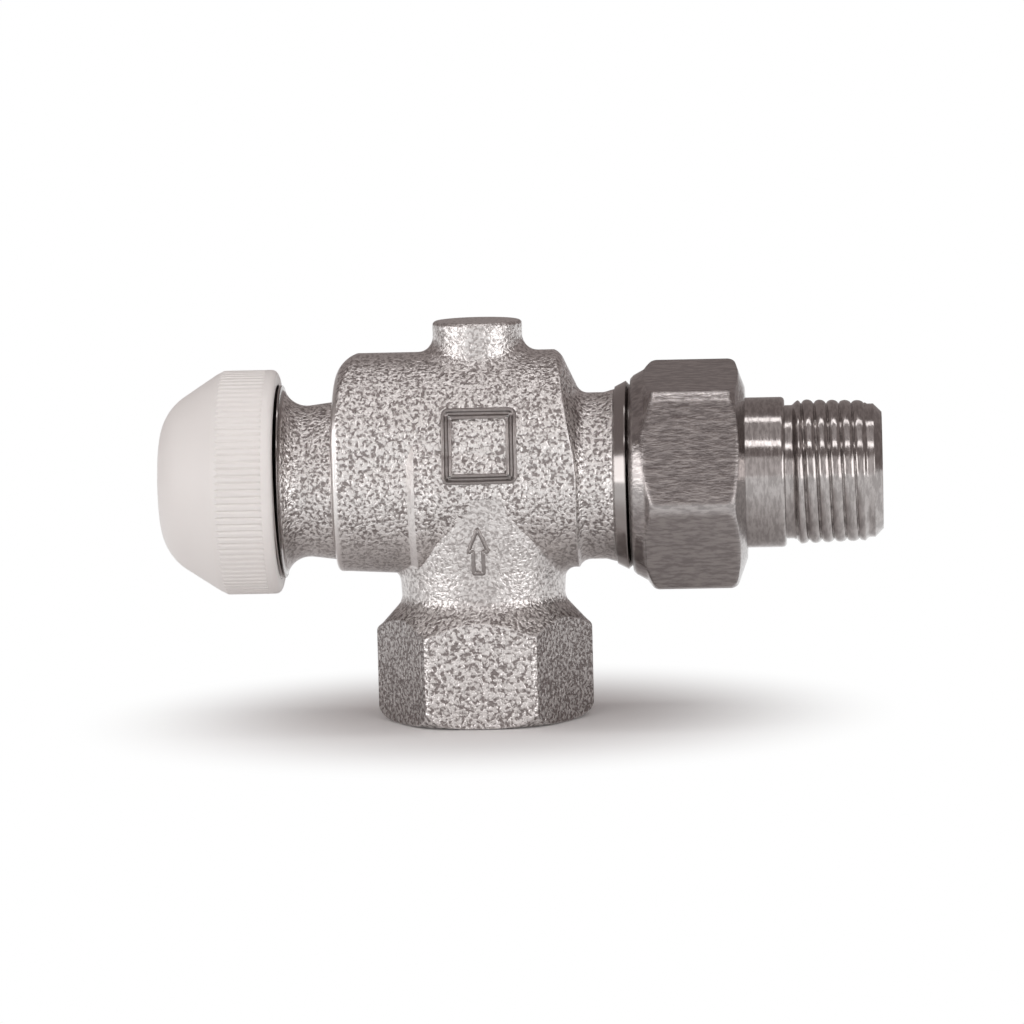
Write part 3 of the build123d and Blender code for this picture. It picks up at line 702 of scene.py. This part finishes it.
def add_floor():
    """Paper round the valve that turns white, without shade, further out."""
    z = FLOOR_Z - FLOOR_GAP
    points = [(0, 0, z)]
    for i in range(FLOOR_SEGMENTS):
        angle = 2 * math.pi * i / FLOOR_SEGMENTS
        points.append((FLOOR_RADIUS * math.cos(angle), FLOOR_RADIUS * math.sin(angle), z))
    faces = [(0, 1 + i, 1 + (i + 1) % FLOOR_SEGMENTS) for i in range(FLOOR_SEGMENTS)]
    mesh = bpy.data.meshes.new("floor")
    mesh.from_pydata(points, [], faces)
    floor = bpy.data.objects.new("floor", mesh)
    bpy.context.scene.collection.objects.link(floor)
    s = Shader("floor")
    rays = s.node("ShaderNodeLightPath").outputs
    mirrored = s.math("ADD", rays["Is Glossy Ray"], rays["Is Transmission Ray"], clamp=True)
    length = s.node("ShaderNodeVectorMath", operation="LENGTH")
    s.put(length.inputs[0], s.place())
    out = length.outputs["Value"]
    seen = s.math("MULTIPLY", rays["Is Camera Ray"], s.smooth(out, *PAPER_START))
    mirrored = s.math("MULTIPLY", mirrored, s.smooth(out, *MIRROR_START))
    paper = s.node("ShaderNodeBsdfDiffuse")
    paper.inputs["Color"].default_value = colour(0.94, 0.94, 0.94)
    white = s.node("ShaderNodeEmission")
    mixed = s.node("ShaderNodeMixShader")
    s.put(mixed.inputs[0], s.math("ADD", seen, mirrored, clamp=True))
    s.put(mixed.inputs[1], paper.outputs[0])
    s.put(mixed.inputs[2], white.outputs[0])
    s.put(s.output.inputs["Surface"], mixed.outputs[0])
    dress(floor, s.material)


def direction(azimuth, elevation):
    """Direction from the valve; azimuth 0 is in front, positive to the right."""
    level = math.cos(elevation)
    return Vector((math.sin(azimuth) * level, -math.cos(azimuth) * level, math.sin(elevation)))


def aim(name, data, toward, distance):
    """Lamp or camera that faces the target from a distance."""
    thing = bpy.data.objects.new(name, data)
    bpy.context.scene.collection.objects.link(thing)
    thing.location = TARGET + distance * toward
    thing.rotation_euler = toward.to_track_quat("Z", "Y").to_euler()
    return thing


def add_lights():
    """Soft boxes that face the valve, in a pale room."""
    for name, azimuth, elevation, distance, width, height, radiance in LIGHTS:
        light = bpy.data.lights.new(name, "AREA")
        light.shape = "RECTANGLE"
        light.size, light.size_y = width, height
        light.energy = radiance * math.pi * width * height
        aim(name, light, direction(math.radians(azimuth), math.radians(elevation)), distance)
    world = bpy.data.worlds.new("studio")
    world.use_nodes = True
    background = world.node_tree.nodes["Background"]
    background.inputs["Color"].default_value = colour(0.30, 0.262, 0.255)
    background.inputs["Strength"].default_value = 1.0
    bpy.context.scene.world = world


def add_camera():
    camera = bpy.data.cameras.new("camera")
    camera.sensor_width = SENSOR_WIDTH
    camera.lens = SENSOR_WIDTH * CAMERA_DISTANCE / FRAME_WIDTH
    eye = aim("camera", camera, direction(CAMERA_AZIMUTH, CAMERA_ELEVATION), CAMERA_DISTANCE)
    eye.rotation_euler.rotate_axis("Z", -CAMERA_ROLL)
    bpy.context.scene.camera = eye


# The dressed valve

brass = metal("plain_brass", colour(0.66, 0.48, 0.20), colour(0.78, 0.60, 0.30), 0.22, 0.36)
steel = metal("steel", colour(0.46, 0.46, 0.47), colour(0.60, 0.60, 0.61), 0.20, 0.34)
rubber = black_rubber()
cast = cast_nickel("cast_nickel", grain_share=1.0, calm_share=0.45, tone=0.62)
calm_cast = cast_nickel("calm_cast_nickel", grain_share=0.55, calm_share=0.0, tone=0.66)
# painted highlight: the step's bevel gets a calm, much brighter cast finish
highlight_painted_cast = cast_nickel("highlight_painted_cast_nickel", grain_share=0.2, calm_share=0.0, tone=0.95)
marks = mark_nickel_painted_light()
plastic = white_plastic()
nut_metal = turned_nickel(
    "nut_nickel", streaks=(0.12, 2.2, 2.2), stretch=(0.3, 1.0, 1.0), wave_depth=0.06 * MM,
    edge_round=0.9 * MM, dark=colour(0.31, 0.285, 0.28), bright=colour(0.44, 0.41, 0.40))
tail_metal = turned_nickel(
    "tail_nickel", streaks=(6.0, 0.15, 0.15), stretch=(1.3, 0.35, 0.35), wave_depth=0.02 * MM,
    edge_round=0.2 * MM, dark=colour(0.33, 0.305, 0.297), bright=colour(0.46, 0.43, 0.42))

FINISHES = {
    "cast_nickel": cast,
    "turned_nickel": nut_metal,
    "white_plastic": plastic,
    "plain_brass": brass,
    "steel": steel,
    "rubber": rubber,
}
for part in frame["record"]["subparts"]:
    dress(nodes[part["node"]], FINISHES[part["material_slot"]])

tailpiece(tail_metal)
inlet_thread(tail_metal)
gable = neck_gable("neck_gable", 1, calm_cast)
neck_gable("neck_gable_back", -1, calm_cast)
step_shell("step_bevel", STEP_BEVEL, highlight_painted_cast)
step_shell("step_swell", STEP_SWELL, cast)
front = Front([nodes["valve_body"], gable])
plate_frame(front, marks)
flow_arrow(front, marks)
add_floor()
add_lights()
add_camera()

bpy.context.scene.view_settings.view_transform = "Standard"
